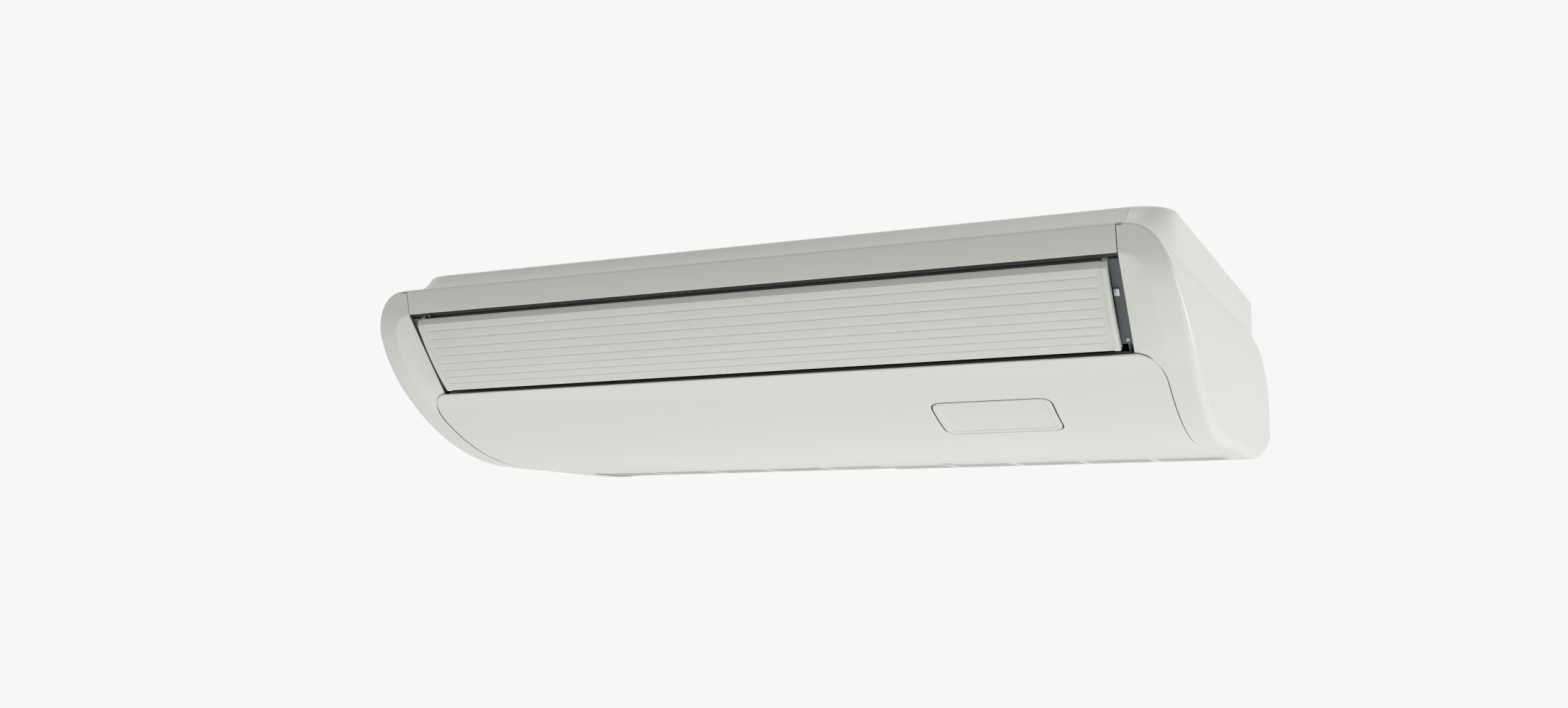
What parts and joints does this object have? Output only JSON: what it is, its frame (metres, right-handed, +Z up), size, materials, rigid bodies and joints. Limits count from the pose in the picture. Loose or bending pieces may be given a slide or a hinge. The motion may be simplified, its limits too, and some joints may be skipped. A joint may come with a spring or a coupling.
{
  "type": "floor ceiling air conditioner indoor unit",
  "caption": "Under-ceiling indoor air conditioner: rounded white body with a front outlet flap, turning vanes, hinged intake grilles and a coil and fans inside.",
  "frame": {"origin": "middle of the underside of the whole unit's box, on the lowest plane of the belly", "axes": "+X to the unit's right as seen from the front, -Y towards the room (air outlet side), +Z up to the ceiling"},
  "size_m": [0.99, 0.6924, 0.2315],
  "materials": {
    "white_abs": "satin moulded, white",
    "casing_sheet": "satin powder coat, white",
    "grey_abs": "satin moulded, light grey",
    "dark_abs": "matt moulded, dark grey",
    "window_plastic": "smooth, white",
    "board": "glass epoxy laminate, green",
    "galvanised_steel": "zinc coated sheet",
    "fin_aluminium": "thin hydrophilic coated foil",
    "copper": "drawn copper tube",
    "brass_union": "turned brass",
    "pan_foam": "moulded, off white",
    "motor_shell": "dark painted steel",
    "shaft_steel": "ground",
    "fan_plastic": "moulded, dark grey",
    "scroll_plastic": "moulded, grey",
    "drain_plastic": "moulded, grey",
    "filter_mesh": "moulded frame, dark grey",
    "rubber": "soft black",
    "screw_zinc": "zinc plated"
  },
  "bodies": {
    "casing": {"top_casing": "casing_sheet", "casing_end_left": "white_abs", "casing_end_right": "white_abs", "rear_panel": "galvanised_steel", "side_cover_left": "white_abs", "side_cover_right": "white_abs", "top_strip": "white_abs", "front_panel": "white_abs", "display_cover": "window_plastic", "receiver_board": "board", "chassis_side_left": "galvanised_steel", "chassis_side_right": "galvanised_steel", "partition_plate": "galvanised_steel", "outlet_frame": "dark_abs", "drain_pan": "pan_foam", "coil_fins": "fin_aluminium", "coil_tubes": "copper", "coil_end_left": "galvanised_steel", "coil_end_right": "galvanised_steel", "gas_pipe": "copper", "liquid_pipe": "copper", "flare_unions": "brass_union", "drain_socket": "drain_plastic", "fan_housing_left": "scroll_plastic", "fan_housing_right": "scroll_plastic", "fan_motor": "motor_shell", "motor_bracket": "galvanised_steel", "motor_straps": "galvanised_steel", "electrical_box": "galvanised_steel", "electrical_box_cover": "galvanised_steel", "control_board": "board", "terminal_block": "scroll_plastic", "hanger_bracket_left": "galvanised_steel", "hanger_bracket_right": "galvanised_steel", "bracket_screws": "screw_zinc", "cable_grommet": "rubber", "flap_motor": "scroll_plastic", "flap_motor_bracket": "galvanised_steel"},
    "fan": {"fan_shaft": "shaft_steel", "fan_wheel_left": "fan_plastic", "fan_wheel_right": "fan_plastic"},
    "flap": {"flap_blade": "grey_abs", "flap_end_left": "grey_abs", "flap_end_right": "grey_abs"},
    "grille_left": {"grille_left": "white_abs", "filter_left": "filter_mesh"},
    "grille_right": {"grille_right": "white_abs", "filter_right": "filter_mesh"},
    "latch_left": {"latch_left": "white_abs"},
    "latch_right": {"latch_right": "white_abs"},
    "link_left": {"link_left": "dark_abs"},
    "link_right": {"link_right": "dark_abs"},
    "vane_left_1": {"vane_left_1": "dark_abs"},
    "vane_left_2": {"vane_left_2": "dark_abs"},
    "vane_left_3": {"vane_left_3": "dark_abs"},
    "vane_left_4": {"vane_left_4": "dark_abs"},
    "vane_right_1": {"vane_right_1": "dark_abs"},
    "vane_right_2": {"vane_right_2": "dark_abs"},
    "vane_right_3": {"vane_right_3": "dark_abs"},
    "vane_right_4": {"vane_right_4": "dark_abs"}
  },
  "joints": [
    {"name": "flap_tilt", "type": "hinge", "parent": "casing", "child": "flap", "pos_m": [0, -0.29257, 0.1372], "axis": [1, 0, 0], "range_deg": [0, 75]},
    {"name": "fan_spin", "type": "hinge", "parent": "casing", "child": "fan", "pos_m": [0, 0.19623, 0.125], "axis": [1, 0, 0], "continuous": true},
    {"name": "grille_left_swing", "type": "hinge", "parent": "casing", "child": "grille_left", "pos_m": [-0.231, 0.33122, 0.0332], "axis": [1, 0, 0], "range_deg": [0, 80]},
    {"name": "grille_right_swing", "type": "hinge", "parent": "casing", "child": "grille_right", "pos_m": [0.231, 0.33122, 0.032], "axis": [1, 0, 0], "range_deg": [0, 80]},
    {"name": "latch_left_slide", "type": "slide", "parent": "grille_left", "child": "latch_left", "axis": [0, 1, 0], "range_m": [0, 0.006]},
    {"name": "latch_right_slide", "type": "slide", "parent": "grille_right", "child": "latch_right", "axis": [0, 1, 0], "range_m": [0, 0.006]},
    {"name": "link_left_slide", "type": "slide", "parent": "casing", "child": "link_left", "axis": [1, 0, 0], "range_m": [-0.01377, 0.01377]},
    {"name": "vane_left_1_turn", "type": "hinge", "parent": "casing", "child": "vane_left_1", "pos_m": [-0.055, -0.20677, 0.135], "axis": [0, 0, 1], "range_deg": [-35.1, 35.1]},
    {"name": "vane_left_2_turn", "type": "hinge", "parent": "casing", "child": "vane_left_2", "pos_m": [-0.155, -0.20677, 0.135], "axis": [0, 0, 1], "range_deg": [-35.1, 35.1]},
    {"name": "vane_left_3_turn", "type": "hinge", "parent": "casing", "child": "vane_left_3", "pos_m": [-0.255, -0.20677, 0.135], "axis": [0, 0, 1], "range_deg": [-35.1, 35.1]},
    {"name": "vane_left_4_turn", "type": "hinge", "parent": "casing", "child": "vane_left_4", "pos_m": [-0.355, -0.20677, 0.135], "axis": [0, 0, 1], "range_deg": [-35.1, 35.1]},
    {"name": "link_right_slide", "type": "slide", "parent": "casing", "child": "link_right", "axis": [1, 0, 0], "range_m": [-0.01377, 0.01377]},
    {"name": "vane_right_1_turn", "type": "hinge", "parent": "casing", "child": "vane_right_1", "pos_m": [0.055, -0.20677, 0.135], "axis": [0, 0, 1], "range_deg": [-35.1, 35.1]},
    {"name": "vane_right_2_turn", "type": "hinge", "parent": "casing", "child": "vane_right_2", "pos_m": [0.155, -0.20677, 0.135], "axis": [0, 0, 1], "range_deg": [-35.1, 35.1]},
    {"name": "vane_right_3_turn", "type": "hinge", "parent": "casing", "child": "vane_right_3", "pos_m": [0.255, -0.20677, 0.135], "axis": [0, 0, 1], "range_deg": [-35.1, 35.1]},
    {"name": "vane_right_4_turn", "type": "hinge", "parent": "casing", "child": "vane_right_4", "pos_m": [0.355, -0.20677, 0.135], "axis": [0, 0, 1], "range_deg": [-35.1, 35.1]}
  ],
  "couplings": [
    {"joint": "vane_left_1_turn", "follows": "link_left_slide", "rad_per_m": -44.375},
    {"joint": "vane_left_2_turn", "follows": "link_left_slide", "rad_per_m": -44.375},
    {"joint": "vane_left_3_turn", "follows": "link_left_slide", "rad_per_m": -44.375},
    {"joint": "vane_left_4_turn", "follows": "link_left_slide", "rad_per_m": -44.375},
    {"joint": "vane_right_1_turn", "follows": "link_right_slide", "rad_per_m": -44.375},
    {"joint": "vane_right_2_turn", "follows": "link_right_slide", "rad_per_m": -44.375},
    {"joint": "vane_right_3_turn", "follows": "link_right_slide", "rad_per_m": -44.375},
    {"joint": "vane_right_4_turn", "follows": "link_right_slide", "rad_per_m": -44.375}
  ]
}
